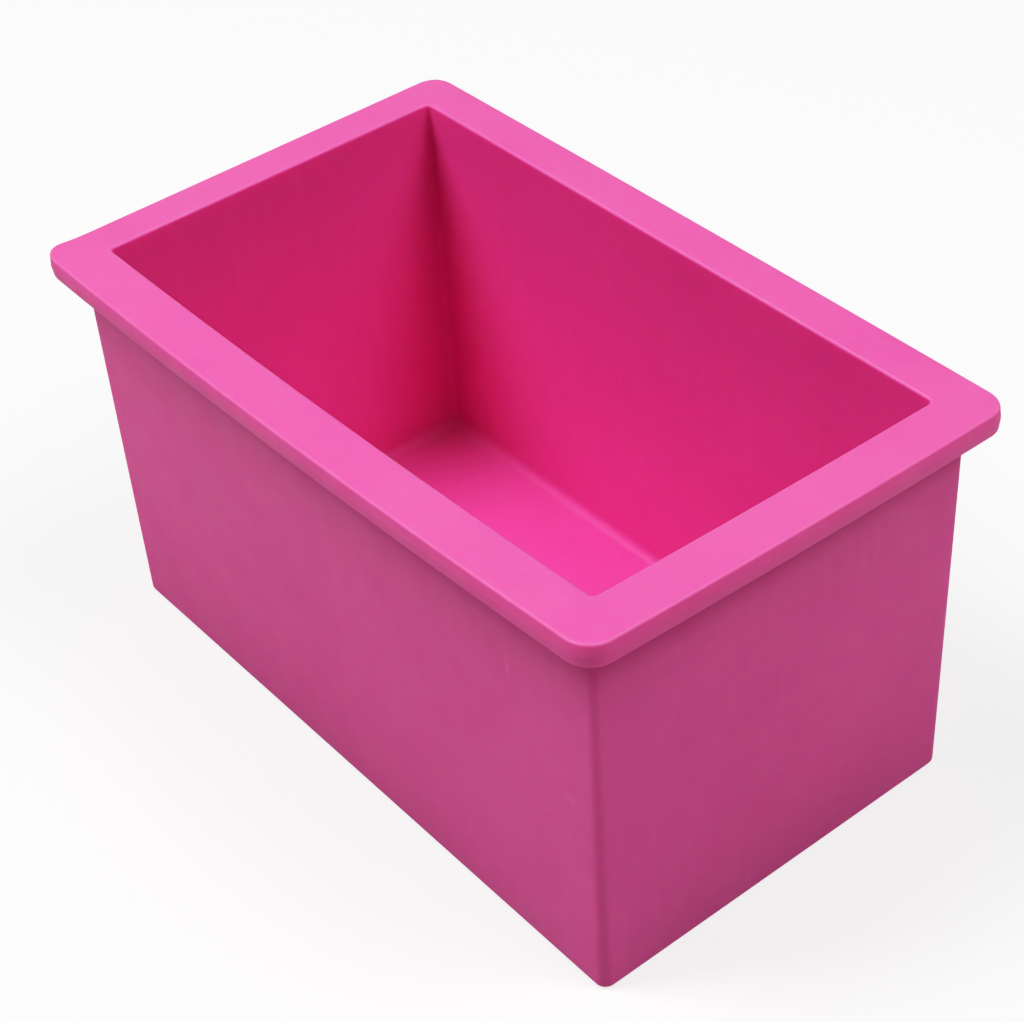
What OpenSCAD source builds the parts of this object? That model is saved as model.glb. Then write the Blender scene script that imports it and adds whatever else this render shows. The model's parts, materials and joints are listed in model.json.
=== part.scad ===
// Soap loaf mould: one open box moulded in silicone, with thick walls and a flat rim.
// Millimetres. +Z is up, +X runs along the loaf, and the origin is the centre of the base.

/* [Rim] */
// Length of the rim, along X
rim_length = 150; // [110:1:300]
// Width of the rim, along Y
rim_width = 90.5; // [70:0.5:160]
// Thickness of the flat rim
rim_thickness = 4.4; // [3:0.1:8]
// How far the rim stands out past the tops of the walls
rim_overhang = 5; // [3:0.1:12]
// Radius of the rim's four corners, seen from above
rim_corner_radius = 4.7; // [3:0.1:12]
// Rounding along the rim's outer edges
rim_edge_radius = 0.5; // [0.2:0.1:1.4]

/* [Body] */
// Height from the base to the top of the rim
height = 81; // [50:1:120]
// Thickness of the walls where they meet the rim
wall_thickness = 4.2; // [2:0.1:6]
// Thickness of the floor
floor_thickness = 5; // [3:0.5:8]
// How far each outer wall leans in, from the rim down to the base
outer_draft = 0.4; // [0:0.05:2]
// Radius of the upright outer corners just under the rim
body_corner_radius = 1.3; // [0.8:0.1:6]
// Radius of the same corners at the base
base_corner_radius = 2.2; // [1.2:0.1:6]
// Rounding along the bottom edges
base_edge_radius = 0.8; // [0.5:0.1:1.2]

/* [Cavity] */
// How far each cavity wall leans in, from the opening down to the floor
cavity_draft = 0.5; // [0:0.05:2]
// Radius of the cavity's upright corners at the opening
opening_corner_radius = 0.8; // [0.5:0.1:3]
// Radius of the fillet round the floor, and of the cavity's upright corners where they meet it
floor_fillet_radius = 2; // [1:0.5:6]

/* [Hidden] */

// Facets round a full circle
round_facets = 32;
// Straight steps in each quarter-round edge
edge_steps = 5;
// How far the cavity tool runs out of the opening, so that it cuts cleanly
cut_clearance = 2;

wall_top_z = height - rim_thickness;
wall_top_size = [rim_length, rim_width] - [2, 2] * rim_overhang;
base_size = wall_top_size - [2, 2] * outer_draft;
opening_size = wall_top_size - [2, 2] * wall_thickness;
floor_size = opening_size - [2, 2] * cavity_draft;

// Points of a quarter circle round centre, starting at start_angle
function quarter_arc(centre, radius, start_angle) =
    [for (i = [0 : edge_steps])
        let (angle = start_angle + 90 * i / edge_steps)
        centre + radius * [cos(angle), sin(angle)]];

// Repeats its child at the four corners of a rectangle whose corners have this radius
module at_corners(size, radius) {
    for (x_side = [-1, 1], y_side = [-1, 1])
        translate([x_side * (size.x / 2 - radius), y_side * (size.y / 2 - radius), 0])
            children();
}

// Round disc that stands on z = 0, with a quarter-round along its lower and its upper edge
module disc(radius, thickness, lower_round, upper_round) {
    outline = concat(
        [[0, 0]],
        quarter_arc([radius - lower_round, lower_round], lower_round, -90),
        quarter_arc([radius - upper_round, thickness - upper_round], upper_round, 0),
        [[0, thickness]]
    );
    rotate_extrude($fn = round_facets)
        polygon(outline);
}

// The flat flange round the opening, still without the opening
module rim_plate() {
    hull()
        at_corners([rim_length, rim_width], rim_corner_radius)
            translate([0, 0, wall_top_z])
                disc(rim_corner_radius, rim_thickness, rim_edge_radius, rim_edge_radius);
}

// The tapered outside of the box, from the base up into the middle of the rim
module outer_block() {
    hull() {
        at_corners(base_size, base_corner_radius)
            disc(base_corner_radius, 2 * base_edge_radius, base_edge_radius, base_edge_radius);
        at_corners(wall_top_size, body_corner_radius)
            translate([0, 0, wall_top_z])
                cylinder(h = rim_thickness / 2, r = body_corner_radius, $fn = round_facets);
    }
}

// The hollow that holds the soap: nearly sharp corners at the opening, rounded ones at the floor
module cavity() {
    hull() {
        at_corners(floor_size, floor_fillet_radius)
            translate([0, 0, floor_thickness + floor_fillet_radius])
                sphere(r = floor_fillet_radius, $fn = round_facets);
        at_corners(opening_size, opening_corner_radius)
            translate([0, 0, height])
                cylinder(h = cut_clearance, r = opening_corner_radius, $fn = round_facets);
    }
}

// The whole moulding: rim, walls and floor are one piece of silicone
module mould_body() {
    color("hotpink")
        difference() {
            union() {
                rim_plate();
                outer_block();
            }
            cavity();
        }
}

mould_body();
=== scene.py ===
"""Soap loaf mould: one seamless silicone moulding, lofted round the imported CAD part."""
import json
import math

import bmesh
import bpy
import numpy as np
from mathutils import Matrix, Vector


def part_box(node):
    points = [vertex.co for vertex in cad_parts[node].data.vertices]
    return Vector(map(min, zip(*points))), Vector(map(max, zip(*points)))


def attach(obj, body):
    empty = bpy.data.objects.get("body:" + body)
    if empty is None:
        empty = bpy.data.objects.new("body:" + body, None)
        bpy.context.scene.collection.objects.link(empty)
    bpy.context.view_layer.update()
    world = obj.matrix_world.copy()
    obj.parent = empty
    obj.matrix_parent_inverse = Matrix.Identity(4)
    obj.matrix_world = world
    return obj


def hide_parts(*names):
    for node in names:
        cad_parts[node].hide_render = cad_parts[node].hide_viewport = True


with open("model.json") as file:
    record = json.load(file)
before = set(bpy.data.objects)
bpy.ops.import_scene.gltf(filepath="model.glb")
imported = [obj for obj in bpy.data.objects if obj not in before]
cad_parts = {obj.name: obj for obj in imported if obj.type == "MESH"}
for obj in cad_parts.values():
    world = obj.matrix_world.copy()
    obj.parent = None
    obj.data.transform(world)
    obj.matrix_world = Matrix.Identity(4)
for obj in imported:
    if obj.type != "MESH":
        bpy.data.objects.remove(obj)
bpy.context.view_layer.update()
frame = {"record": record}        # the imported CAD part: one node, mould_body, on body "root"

MM = 0.001

# ---- Sizes, in metres -------------------------------------------------------------------
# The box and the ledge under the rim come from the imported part.
low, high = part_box("mould_body")
LENGTH, WIDTH, HEIGHT = high - low
mounts = {m["name"]: m for m in frame["record"]["mounts"]}
ledge = mounts["rim_underside_front"]["pos_m"]      # the middle of the rim's underside
RIM_BOTTOM = ledge[2]
OVERHANG = 2 * (ledge[1] + WIDTH / 2)

# Thicknesses, drafts and the larger radii repeat those of the CAD part.
WALL = 4.2 * MM
FLOOR_TOP = 5 * MM
OUTER_DRAFT = 0.4 * MM
CAVITY_DRAFT = 0.5 * MM
RIM_CORNER = 4.7 * MM
BODY_CORNER = 1.3 * MM
BASE_CORNER = 2.2 * MM
FLOOR_FILLET = 2.0 * MM
RIM_TOP_EDGE = 0.5 * MM

# These small roundings differ a little from the CAD part's, or are only here.
OPENING_CORNER = 0.9 * MM
OPENING_EDGE = 0.6 * MM
RIM_LOWER_EDGE = 0.4 * MM
RIM_CROWN = 0.2 * MM              # how far the middle of the rim's side stands out
RIM_COVE = 2.2 * MM               # where the walls meet the rim's underside
BASE_EDGE = 1.1 * MM

# ---- Mesh density: steps along each straight or round stretch ---------------------------
LONG_STEPS = 64
SHORT_STEPS = 40
CORNER_STEPS = 8
WALL_STEPS = 26
CAP_STEPS = 14
EDGE_STEPS = 5
FILLET_STEPS = 9
LEDGE_STEPS = 5
RIM_SIDE_STEPS = 4
RIM_TOP_STEPS = 8
MERGE_DISTANCE = 0.01 * MM

# ---- How the soft moulding sits: small shifts of its corners and bows of its sides ------
# Corners are (x side, y side): shifts of the rim and of the base there, as (x, y, z).
RIM_SHIFTS = {
    (-1, -1): Vector((0.2, -0.1, -0.55)) * MM,
    (1, -1): Vector((0.05, 0.75, 1.65)) * MM,
    (1, 1): Vector((-0.15, -0.45, -0.5)) * MM,
    (-1, 1): Vector((-0.05, 0.05, 0.1)) * MM,
}
BASE_SHIFTS = {
    (-1, -1): Vector((-0.35, -0.15, 0)) * MM,
    (1, -1): Vector((0.2, -0.1, 0)) * MM,
    (1, 1): Vector((-0.05, 0.15, 0)) * MM,
    (-1, 1): Vector((0.2, 0.45, 0)) * MM,
}
FRONT_BOW = 1.6 * MM              # outwards, in the middle of the long side at -Y
END_BOW = 1.05 * MM               # outwards, in the middle of the end at +X
END_RISE = 0.7 * MM               # upwards, in the middle of the same end
SIDE_RISE = 0.25 * MM             # upwards, in the middle of both long sides
RIM_FALL = 0.4 * MM               # of the -X end's rim, from its middle line to its outer edge
# The rim's corner at -X, -Y stands out a little.
TIP_REACH = 4.5 * MM
TIP_SHIFT = Vector((-0.55, -0.2, 0.4)) * MM
TIP_FADE_DOWN = 8                 # power of the height by which the shift fades below the rim


# ---- Outlines: (half length, half width, corner radius) --------------------------------
def grow(outline, distance, corner=None):
    """The outline moved out by distance, or in if it is negative."""
    half_x, half_y, radius = outline
    radius = max(radius + distance, 0) if corner is None else corner
    return (half_x + distance, half_y + distance, radius)


def between(first, last, share):
    """The outline or point that lies this share of the way from first to last."""
    return tuple(a + (b - a) * share for a, b in zip(first, last))


def eased(steps):
    """Shares from 0 to 1 that lie closer together near both ends."""
    return [(1 - math.cos(math.pi * k / steps)) / 2 for k in range(steps + 1)]


rim = (LENGTH / 2, WIDTH / 2, RIM_CORNER)
wall_top = grow(rim, -OVERHANG, BODY_CORNER)
base = grow(wall_top, -OUTER_DRAFT, BASE_CORNER)
opening = grow(wall_top, -WALL, OPENING_CORNER)
cavity_foot = grow(opening, -CAVITY_DRAFT, FLOOR_FILLET)


# ---- The profile: one (outline, height) per ring, from under the base to the floor ------
def flat_cap(outline, height):
    """Rings from the middle line of a flat face out to the outline."""
    reach = outline[1]
    return [(grow(outline, -reach * (1 - share)), height) for share in eased(CAP_STEPS)]


def quarter(outline, radius, height, start, turn, steps=EDGE_STEPS):
    """Rings round an edge: the angle is 0 outwards and 90 upwards, and height is the centre's."""
    rings = []
    for k in range(steps + 1):
        angle = math.radians(start + turn * k / steps)
        rings.append((grow(outline, radius * math.cos(angle)), height + radius * math.sin(angle)))
    return rings


def straight(first, last, steps):
    """Rings between two rings, without the two themselves."""
    return [
        (between(first[0], last[0], share), first[1] + (last[1] - first[1]) * share)
        for share in eased(steps)[1:-1]
    ]


def profile():
    """All rings in order: under the base, up the outside, over the rim and down the cavity."""
    base_edge = quarter(grow(base, -BASE_EDGE), BASE_EDGE, BASE_EDGE, -90, 90)
    cove = quarter(grow(wall_top, RIM_COVE), RIM_COVE, RIM_BOTTOM - RIM_COVE, 180, -90)
    lower_edge = quarter(
        grow(rim, -RIM_LOWER_EDGE), RIM_LOWER_EDGE, RIM_BOTTOM + RIM_LOWER_EDGE, -90, 90)
    rim_side = [(grow(rim, RIM_CROWN), (RIM_BOTTOM + HEIGHT) / 2)]
    top_edge = quarter(grow(rim, -RIM_TOP_EDGE), RIM_TOP_EDGE, HEIGHT - RIM_TOP_EDGE, 0, 90)
    mouth = quarter(grow(opening, OPENING_EDGE), OPENING_EDGE, HEIGHT - OPENING_EDGE, 90, 90)
    fillet = quarter(
        grow(cavity_foot, -FLOOR_FILLET), FLOOR_FILLET, FLOOR_TOP + FLOOR_FILLET, 0, -90,
        FILLET_STEPS)
    # Each section comes with the number of steps from its last ring to the next section's first.
    sections = [
        (flat_cap(grow(base, -BASE_EDGE), 0.0)[:-1], 1),
        (base_edge, WALL_STEPS),
        (cove, LEDGE_STEPS),
        (lower_edge, RIM_SIDE_STEPS),
        (rim_side, RIM_SIDE_STEPS),
        (top_edge, RIM_TOP_STEPS),
        (mouth, WALL_STEPS),
        (fillet, 1),
        (flat_cap(grow(cavity_foot, -FLOOR_FILLET), FLOOR_TOP)[-2::-1], 1),
    ]
    rings = []
    for section, steps_before_next in sections:
        if rings and last_steps > 1:
            rings += straight(rings[-1], section[0], last_steps)
        rings += section
        last_steps = steps_before_next
    return rings


def ring_points(outline, height):
    """Points round a rounded rectangle, anticlockwise seen from above."""
    half_x, half_y, radius = outline
    radius = min(radius, half_y)
    arcs = []
    for x_side, y_side, start in ((1, -1, -90), (1, 1, 0), (-1, 1, 90), (-1, -1, 180)):
        centre = (x_side * (half_x - radius), y_side * (half_y - radius))
        angles = [math.radians(start + 90 * k / CORNER_STEPS) for k in range(CORNER_STEPS + 1)]
        arcs.append([
            (centre[0] + radius * math.cos(a), centre[1] + radius * math.sin(a)) for a in angles])
    points = []
    for k, steps in enumerate((SHORT_STEPS, LONG_STEPS, SHORT_STEPS, LONG_STEPS)):
        points += arcs[k]
        begin, end = arcs[k][-1], arcs[(k + 1) % 4][0]
        points += [between(begin, end, (share + j / steps) / 2)
                   for j, share in enumerate(eased(steps)) if 0 < j < steps]
    return [(x, y, height) for x, y in points]


def settle(points):
    """Moves the points of the true shape to where the soft moulding sits."""
    x, y, z = points.T
    along = x / LENGTH + 0.5
    across = y / WIDTH + 0.5
    up = z / HEIGHT
    moved = points.copy()
    for (x_side, y_side), rim_shift in RIM_SHIFTS.items():
        share = (along if x_side > 0 else 1 - along) * (across if y_side > 0 else 1 - across)
        shift = np.outer(up, rim_shift) + np.outer(1 - up, BASE_SHIFTS[x_side, y_side])
        moved += share[:, None] * shift
    arch_x = 4 * along * (1 - along) * up
    arch_y = 4 * across * (1 - across) * up
    moved[:, 0] += END_BOW * arch_y * along
    moved[:, 1] -= FRONT_BOW * arch_x * (1 - across)
    moved[:, 2] += SIDE_RISE * arch_x + END_RISE * arch_y * along
    from_tip = np.hypot(x + LENGTH / 2, y + WIDTH / 2) / TIP_REACH
    moved += np.outer(np.exp(-from_tip ** 2) * up ** TIP_FADE_DOWN, TIP_SHIFT)
    # Across the rim, from -1 at the opening to 1 at the outer edge: its top slopes down outwards.
    half_band = (OVERHANG + WALL) / 2
    outward = np.maximum(abs(x) - LENGTH / 2, abs(y) - WIDTH / 2) / half_band + 1
    in_rim = np.clip((z - RIM_BOTTOM) / (HEIGHT - RIM_BOTTOM), 0, 1)
    moved[:, 2] -= RIM_FALL * (1 - along) * np.clip(outward, -1, 1) * in_rim
    moved[:, 2] = np.maximum(moved[:, 2], 0)
    return moved


def make_moulding():
    """One closed mesh: rings of equal length, joined by faces, with points that meet merged."""
    rings = profile()
    per_ring = 4 * (CORNER_STEPS + 1) + 2 * (LONG_STEPS - 1) + 2 * (SHORT_STEPS - 1)
    true_shape = [point for outline, height in rings for point in ring_points(outline, height)]
    points = settle(np.array(true_shape))
    faces = []
    for r in range(len(rings) - 1):
        for k in range(per_ring):
            a, b = r * per_ring + k, r * per_ring + (k + 1) % per_ring
            faces.append((a, b, b + per_ring, a + per_ring))
    mesh = bpy.data.meshes.new("silicone_moulding")
    mesh.from_pydata(points.tolist(), [], faces)
    work = bmesh.new()
    work.from_mesh(mesh)
    bmesh.ops.remove_doubles(work, verts=work.verts, dist=MERGE_DISTANCE)
    bmesh.ops.recalc_face_normals(work, faces=work.faces)
    for face in work.faces:
        face.smooth = True
    work.to_mesh(mesh)
    work.free()
    moulding = bpy.data.objects.new("silicone_moulding", mesh)
    bpy.context.scene.collection.objects.link(moulding)
    return moulding


# ---- Materials: colours, and how strongly each mark shows -------------------------------
DEEP_PINK = (0.81, 0.113, 0.387, 1)
LIGHT_PINK = (0.848, 0.125, 0.407, 1)
DEEP_PINK_INSIDE = (0.815, 0.096, 0.415, 1)
LIGHT_PINK_INSIDE = (0.85, 0.108, 0.437, 1)
CREASE_SHADE_COLOUR = (0.66, 0.03, 0.24, 1)             # painted shade: the deeper pink just under the rim
CREASE_SHADE_SHARE = 0.5
DUST_AND_SHEEN_COLOUR = (0.70, 0.22, 0.38, 1)               # dull dust and painted sheen on top of the rim
DUST_AND_SHEEN_SHARE = 0.2
RUB_MARK_AND_HIGHLIGHT_PINK = (0.90, 0.30, 0.50, 1)               # the streaks and the scuffs, and the painted highlight on the rim's edges
# How strongly the painted highlight on the rim's upper edges shows.
EDGE_HIGHLIGHT_SHARE = 0.3
STREAK_SHARE = 0.06
SCUFF_SHARE = 0.4
ROUGHNESS_RANGE = (0.44, 0.56)

# The scale of each noise: the higher, the finer.
CLOUD_SCALE = 30.0
GRAIN_SCALE = 380.0
STREAK_SCALES = (420.0, 420.0, 26.0)              # drawn out along Z
SCUFF_SCALE = 700.0
ROUGHNESS_SCALE = 160.0
WAVE_SCALE = 55.0
SATIN_SCALE = 1100.0

# Noise values: the middle of what a noise gives, and the ends that the clouds and streaks use.
NOISE_SPAN = (0.3, 0.7)
SHADE_SPAN = (0.34, 0.66)
STREAK_SPAN = (0.56, 0.78)
PATCHINESS = (0.7, 1.3)

# Upward parts of a face's normal: of the dust and painted sheen, of tilted faces and of nearly flat
# ones.
DUST_AND_SHEEN_SLOPES = (0.6, 1.0)
# Between the next two lies the painted highlight round the rim's upper edges.
TILTED_SLOPES = (0.3, 0.8)
FLAT_SLOPES = (0.9, 0.995)

# How far a face's plane may lie in front of the base's centre to count as inside: fully up to
# the first, and not at all from the second. The cavity's faces and the undersides count.
INSIDE_LIMITS = (7 * MM, 20 * MM)

# Heights where the painted shade under the rim fades in and fades out, and the rim's dust, sheen
# and highlight fade in.
CREASE_SHADE_HEIGHTS = (RIM_BOTTOM - 9 * MM, RIM_BOTTOM - 4.5 * MM)
LEDGE_HEIGHTS = (RIM_BOTTOM - 0.1 * MM, RIM_BOTTOM + 0.2 * MM)
RIM_TOP_HEIGHTS = (0.8 * HEIGHT, 0.9 * HEIGHT)

# Two pale scuffs on the long wall at -Y, in its half at +X: centre and half size.
WALL_Y = -(WIDTH / 2 - OVERHANG)
SCUFFS = [
    ((50.3 * MM, WALL_Y, 60.6 * MM), (0.7 * MM, 3 * MM, 3.4 * MM)),
    ((64.0 * MM, WALL_Y, 41.5 * MM), (1.9 * MM, 3 * MM, 1.9 * MM)),
]


class Nodes:
    """A short way to write a node tree."""

    def __init__(self, name):
        self.material = bpy.data.materials.new(name)
        self.material.use_nodes = True
        self.tree = self.material.node_tree
        self.shader = self.tree.nodes["Principled BSDF"]

    def add(self, kind, settings=None, *first_inputs, **inputs):
        """A new node: its settings, its inputs in order, and its inputs by name."""
        node = self.tree.nodes.new("ShaderNode" + kind)
        for key, value in (settings or {}).items():
            setattr(node, key, value)
        for k, value in enumerate(first_inputs):
            self.set(node, k, value)
        for key, value in inputs.items():
            self.set(node, key.replace("_", " "), value)
        return node

    def set(self, node, socket, value):
        """Links the value to the node's input if it is another node's output, or else sets it."""
        if isinstance(value, bpy.types.NodeSocket):
            self.tree.links.new(value, node.inputs[socket])
        else:
            node.inputs[socket].default_value = value

    def math(self, operation, first, second):
        node = self.add("Math", {"operation": operation})
        self.set(node, 0, first)
        self.set(node, 1, second)
        return node.outputs[0]

    def noise(self, place, scale, detail):
        return self.add("TexNoise", Vector=place, Scale=scale, Detail=detail).outputs["Fac"]

    def remap(self, value, low_in, high_in, low_out, high_out):
        node = self.add("MapRange", Value=value, From_Min=low_in, From_Max=high_in,
                        To_Min=low_out, To_Max=high_out)
        return node.outputs["Result"]

    def blend(self, share, first, second):
        node = self.add("Mix", {"data_type": "RGBA"})
        self.set(node, 0, share)
        self.set(node, 6, first)
        self.set(node, 7, second)
        return node.outputs[2]

    def mix_shaders(self, share, first, second):
        return self.add("MixShader", None, share, first, second).outputs["Shader"]


def scuff_share(n, place, centre, half_size):
    """How much a small pale scuff shows: most in its middle, and nothing from its edge outwards."""
    stretch = tuple(1 / size for size in half_size)
    offset = tuple(-c / size for c, size in zip(centre, half_size))
    near = n.add("Mapping", Vector=place, Location=offset, Scale=stretch).outputs["Vector"]
    distance = n.add("VectorMath", {"operation": "LENGTH"}, Vector=near).outputs["Value"]
    ragged = n.noise(place, SCUFF_SCALE, 2.0)
    ragged = n.remap(ragged, *NOISE_SPAN, 0.4 * SCUFF_SHARE, SCUFF_SHARE)
    return n.math("MULTIPLY", n.remap(distance, 0.0, 1.0, 1.0, 0.0), ragged)


def pink(n, place, cloud, inside):
    """Hot pink with soft clouds, and a slightly different pink in the cavity."""
    grain = n.noise(place, GRAIN_SCALE, 3.0)
    shade = n.math("ADD", n.math("MULTIPLY", cloud, 0.7), n.math("MULTIPLY", grain, 0.3))
    shade = n.remap(shade, *SHADE_SPAN, 0.0, 1.0)
    outer_colour = n.blend(shade, DEEP_PINK, LIGHT_PINK)
    inner_colour = n.blend(shade, DEEP_PINK_INSIDE, LIGHT_PINK_INSIDE)
    return n.blend(inside, outer_colour, inner_colour)


def add_rub_marks(n, place, colour):
    """Faint upright streaks and the two scuffs."""
    drawn_out = n.add("Mapping", Vector=place, Scale=STREAK_SCALES).outputs["Vector"]
    streak = n.remap(n.noise(drawn_out, 1.0, 2.0), *STREAK_SPAN, 0.0, STREAK_SHARE)
    colour = n.blend(streak, colour, RUB_MARK_AND_HIGHLIGHT_PINK)
    for centre, half_size in SCUFFS:
        colour = n.blend(scuff_share(n, place, centre, half_size), colour, RUB_MARK_AND_HIGHLIGHT_PINK)
    return colour


def add_painted_crease_shade(n, height, inside, colour):
    """Painted shade: a deeper pink for the close shade on the outer walls just under the rim."""
    outside = n.remap(inside, 0.0, 1.0, CREASE_SHADE_SHARE, 0.0)
    near_rim = n.remap(height, *CREASE_SHADE_HEIGHTS, 0.0, 1.0)
    below_rim = n.remap(height, *LEDGE_HEIGHTS, 1.0, 0.0)
    painted_shade = n.math("MULTIPLY", n.math("MULTIPLY", near_rim, below_rim), outside)
    return n.blend(painted_shade, colour, CREASE_SHADE_COLOUR)


def add_rim_dust_sheen_and_highlight(n, height, normal, cloud, colour):
    """Dull, patchy dust and painted sheen on the rim's top, and a painted highlight round its upper
    edges.
    """
    on_rim = n.remap(height, *RIM_TOP_HEIGHTS, 0.0, 1.0)
    upward = n.math("MULTIPLY", n.add("SeparateXYZ", Vector=normal).outputs["Z"], on_rim)
    # Dust and painted sheen on the rim's upward faces.
    patchy = n.remap(cloud, *NOISE_SPAN, *PATCHINESS)
    dust_and_sheen = n.math("MULTIPLY", n.remap(upward, *DUST_AND_SHEEN_SLOPES, 0.0, DUST_AND_SHEEN_SHARE), patchy)
    colour = n.blend(dust_and_sheen, colour, DUST_AND_SHEEN_COLOUR)
    # A painted highlight round the rim's upper edges.
    tilted = n.remap(upward, *TILTED_SLOPES, 0.0, EDGE_HIGHLIGHT_SHARE)
    not_flat = n.remap(upward, *FLAT_SLOPES, 1.0, 0.0)
    return n.blend(n.math("MULTIPLY", tilted, not_flat), colour, RUB_MARK_AND_HIGHLIGHT_PINK)


def silicone_colour(n, place):
    """The pink, with rub marks, painted shade, dust, and painted sheen and highlight, laid over one
    by one.
    """
    normal = n.add("TexCoord").outputs["Normal"]
    outward = n.add("VectorMath", {"operation": "DOT_PRODUCT"}, place, normal).outputs["Value"]
    inside = n.remap(outward, *INSIDE_LIMITS, 1.0, 0.0)
    height = n.add("SeparateXYZ", Vector=place).outputs["Z"]
    cloud = n.noise(place, CLOUD_SCALE, 2.0)
    colour = pink(n, place, cloud, inside)
    colour = add_rub_marks(n, place, colour)
    colour = add_painted_crease_shade(n, height, inside, colour)
    return add_rim_dust_sheen_and_highlight(n, height, normal, cloud, colour)


def silicone_relief(n, place):
    """Slow unevenness of the cast faces with a fine satin grain on top."""
    slow = n.noise(place, WAVE_SCALE, 1.0)
    fine = n.noise(place, SATIN_SCALE, 3.0)
    waves = n.add("Bump", Strength=1.0, Distance=0.12 * MM, Height=slow).outputs["Normal"]
    grain = n.add("Bump", Strength=0.5, Distance=0.02 * MM, Height=fine, Normal=waves)
    return grain.outputs["Normal"]


def silicone():
    """Satin silicone rubber that lets a little light in, red the deepest."""
    n = Nodes("hot_pink_silicone")
    place = n.add("TexCoord").outputs["Object"]
    uneven = n.noise(place, ROUGHNESS_SCALE, 3.0)
    n.set(n.shader, "Base Color", silicone_colour(n, place))
    n.set(n.shader, "Roughness", n.remap(uneven, *NOISE_SPAN, *ROUGHNESS_RANGE))
    n.set(n.shader, "Normal", silicone_relief(n, place))
    n.set(n.shader, "IOR", 1.41)
    n.set(n.shader, "Subsurface Weight", 0.45)
    n.set(n.shader, "Subsurface Radius", (1.0, 0.3, 0.5))
    n.set(n.shader, "Subsurface Scale", 4.0 * MM)
    return n.material


# The glow of the studio floor on the object: by the mould, which shades it, and away from it.
BOUNCE_BESIDE = 0.26
BOUNCE_AWAY = 0.44


def floor_as_the_object_sees_it(n):
    """Dark, with a soft glow that grows from the mould's footprint to twice its size."""
    n.set(n.shader, "Base Color", (0.15, 0.15, 0.15, 1))
    n.set(n.shader, "Roughness", 0.9)
    n.set(n.shader, "Specular IOR Level", 0.1)
    n.set(n.shader, "Emission Color", (1, 1, 1, 1))
    place = n.add("TexCoord").outputs["Object"]
    footprint = n.add("Mapping", Vector=place, Scale=(2 / LENGTH, 2 / WIDTH, 1)).outputs["Vector"]
    away = n.add("VectorMath", {"operation": "LENGTH"}, Vector=footprint).outputs["Value"]
    n.set(n.shader, "Emission Strength", n.remap(away, 1.0, 2.0, BOUNCE_BESIDE, BOUNCE_AWAY))
    return n.shader.outputs["BSDF"]


def floor_as_the_camera_sees_it(n):
    """White paper, bright enough that only the object's contact shadow shows."""
    paper = n.add("BsdfDiffuse", Color=(0.92, 0.92, 0.92, 1)).outputs["BSDF"]
    glow = n.add("Emission", Color=(1, 1, 1, 1), Strength=0.98).outputs["Emission"]
    return n.mix_shaders(0.7, paper, glow)


def studio_floor_material():
    n = Nodes("studio_floor")
    seen_by_camera = n.add("LightPath").outputs["Is Camera Ray"]
    both = n.mix_shaders(
        seen_by_camera, floor_as_the_object_sees_it(n), floor_as_the_camera_sees_it(n))
    n.set(n.tree.nodes["Material Output"], "Surface", both)
    return n.material


# ---- Stage, lights and camera -----------------------------------------------------------
FLOOR_REACH = 3.0                 # metres from the middle to each side
SOFTBOX_SIZE = 0.5
SOFTBOX_DISTANCE = 1.6
MOULD_MIDDLE = Vector((0, 0, HEIGHT / 2))


def make_floor():
    reach = FLOOR_REACH
    mesh = bpy.data.meshes.new("studio_floor")
    corners = [(-reach, -reach, 0), (reach, -reach, 0), (reach, reach, 0), (-reach, reach, 0)]
    mesh.from_pydata(corners, [], [(0, 1, 2, 3)])
    mesh.materials.append(studio_floor_material())
    floor = bpy.data.objects.new("studio_floor", mesh)
    bpy.context.scene.collection.objects.link(floor)
    return floor


def direction(azimuth, elevation):
    """The way from the object to a camera or a lamp: azimuth 0 is -Y, and 90 is +X."""
    a, e = math.radians(azimuth), math.radians(elevation)
    return Vector((math.sin(a) * math.cos(e), -math.cos(a) * math.cos(e), math.sin(e)))


def add_softbox(name, azimuth, elevation, watts):
    """A square lamp that faces the middle of the mould."""
    lamp = bpy.data.lights.new(name, "AREA")
    lamp.shape = "SQUARE"
    lamp.size = SOFTBOX_SIZE
    lamp.energy = watts
    holder = bpy.data.objects.new(name, lamp)
    way = direction(azimuth, elevation)
    holder.location = MOULD_MIDDLE + way * SOFTBOX_DISTANCE
    holder.rotation_mode = "QUATERNION"
    holder.rotation_quaternion = way.to_track_quat("Z", "Y")
    bpy.context.scene.collection.objects.link(holder)


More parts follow.
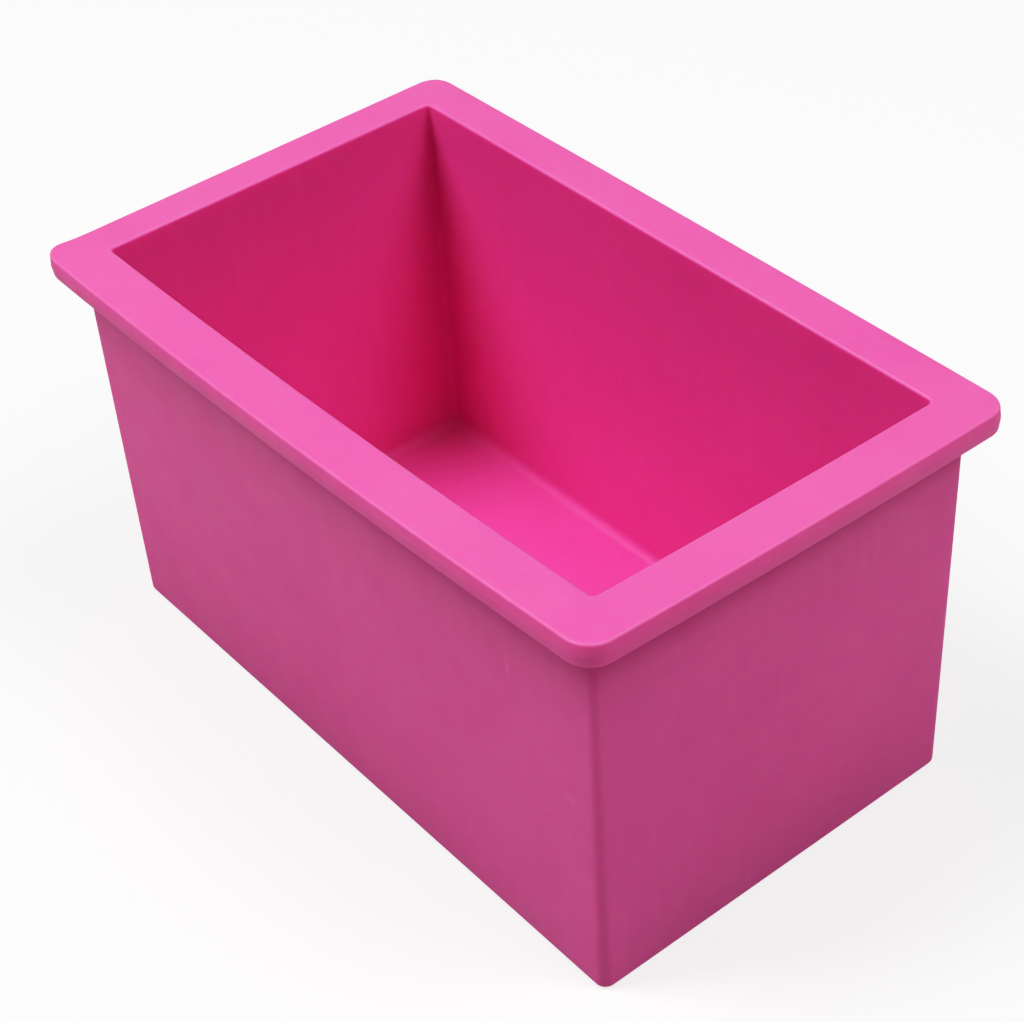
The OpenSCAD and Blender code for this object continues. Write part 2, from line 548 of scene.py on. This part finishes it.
def add_lights():
    """Softboxes by azimuth, elevation and watts. The world itself gives no light."""
    add_softbox("softbox_left_high", -35, 68, 11.8)
    add_softbox("softbox_left", -35, 50, 6.6)
    add_softbox("softbox_right", 100, 50, 2.7)
    add_softbox("softbox_right_back", 125, 50, 3.6)
    add_softbox("softbox_right_high", 125, 68, 6.1)
    add_softbox("softbox_top", 53, 88, 0.8)
    add_softbox("softbox_back", 233, 30, 0.6)
    world = bpy.data.worlds.new("studio")
    bpy.context.scene.world = world
    world.use_nodes = True
    world.node_tree.nodes["Background"].inputs["Color"].default_value = (1, 1, 1, 1)
    world.node_tree.nodes["Background"].inputs["Strength"].default_value = 0.0


def add_camera():
    """Distance and shifts are from the middle of the mould, along the view and across it."""
    azimuth, elevation, roll = 53.25, 39.12, math.radians(-4.06)
    distance, right_shift, up_shift = 425.4 * MM, 0.27 * MM, -1.19 * MM
    back = direction(azimuth, elevation)
    level = Vector((0, 0, 1)).cross(back).normalized()
    upright = back.cross(level)
    right = math.cos(roll) * level + math.sin(roll) * upright
    up = math.cos(roll) * upright - math.sin(roll) * level
    camera = bpy.data.cameras.new("camera")
    camera.lens = 82.93
    camera.sensor_width = 36
    camera.sensor_fit = "HORIZONTAL"
    camera.clip_start = 0.01
    holder = bpy.data.objects.new("camera", camera)
    place = MOULD_MIDDLE + back * distance + right * right_shift + up * up_shift
    turned = holder.matrix_world.copy()
    for column, axis in enumerate((right, up, back)):
        for row in range(3):
            turned[row][column] = axis[row]
    turned.translation = place
    holder.matrix_world = turned
    bpy.context.scene.collection.objects.link(holder)
    bpy.context.scene.camera = holder


# The tone curve's points: linear light seen, and linear light shown.
TONE_POINTS = ((0.013, 0.008), (0.05, 0.034), (0.214, 0.214), (0.523, 0.6))


def set_tone_curve():
    """Standard colours with a gentle S-curve, as a studio camera gives."""
    view = bpy.context.scene.view_settings
    view.view_transform = "Standard"
    view.use_curve_mapping = True
    red_green_blue_together = view.curve_mapping.curves[3]
    for seen, shown in TONE_POINTS:
        red_green_blue_together.points.new(seen, shown)
    view.curve_mapping.update()


moulding = make_moulding()
moulding.data.materials.append(silicone())
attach(moulding, "root")
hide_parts("mould_body")

floor = make_floor()
add_lights()
add_camera()
set_tone_curve()
